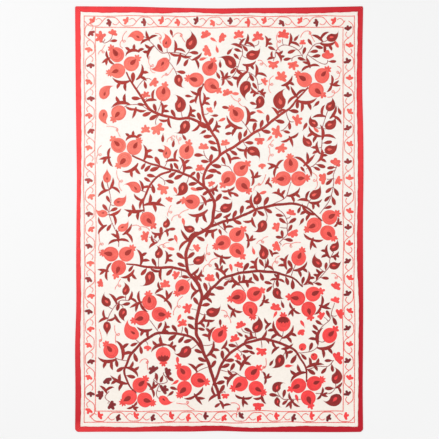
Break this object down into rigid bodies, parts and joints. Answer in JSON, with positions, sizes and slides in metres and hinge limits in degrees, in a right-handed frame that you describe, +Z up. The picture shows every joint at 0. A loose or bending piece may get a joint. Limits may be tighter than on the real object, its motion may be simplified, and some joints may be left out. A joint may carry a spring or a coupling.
{
  "type": "embroidered wall hanging",
  "caption": "Rectangular embroidered cotton cloth with a pomegranate-tree pattern, wrapped in a red binding along every edge and lying flat.",
  "frame": {"origin": "on the surface the cloth lies on, under the middle of the cloth", "axes": "+Y along the cloth's length towards its top edge, +X to the right seen from above, +Z up out of the worked face"},
  "size_m": [1.49, 2.1998, 0.0056],
  "materials": {
    "cream_cotton": "plain-woven matt cotton",
    "red_binding": "plain-woven matt cotton with a slight sheen",
    "coral_thread": "chain-stitched stranded thread, soft sheen",
    "maroon_thread": "chain-stitched stranded thread, soft sheen",
    "salmon_thread": "chain-stitched stranded thread, soft sheen"
  },
  "bodies": {
    "root": {"ground_cloth": "cream_cotton", "binding_left": "red_binding", "binding_right": "red_binding", "binding_bottom": "red_binding", "binding_top": "red_binding"}
  },
  "joints": []
}
